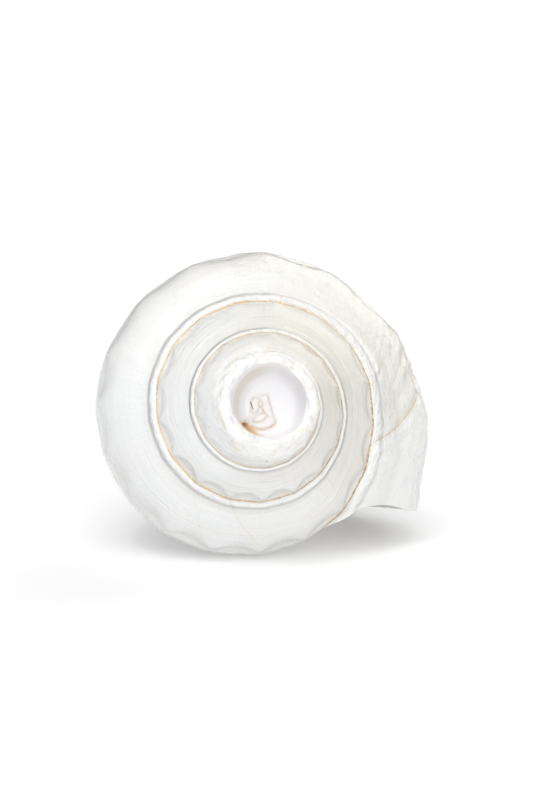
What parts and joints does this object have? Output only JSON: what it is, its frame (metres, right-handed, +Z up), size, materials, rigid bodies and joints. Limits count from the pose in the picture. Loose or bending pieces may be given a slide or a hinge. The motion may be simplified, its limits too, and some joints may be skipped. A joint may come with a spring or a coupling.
{
  "type": "conch shell",
  "caption": "Large white spiral conch shell with its tip ground off as a mouth hole, a wide aperture and a short open canal.",
  "frame": {"origin": "centre of the bounding box's base, on the surface that the shell lies on", "axes": "+Z up; -Y towards the ground-off tip and +Y towards the canal's end, both near the shell's axis; the tip end is raised about 16 degrees"},
  "size_m": [0.0924, 0.1332, 0.0793],
  "materials": {
    "conch_shell": "polished porcelain-like shell, satin to glossy, with thin tan suture lines"
  },
  "bodies": {
    "root": {"conch_shell": "conch_shell"}
  },
  "joints": []
}
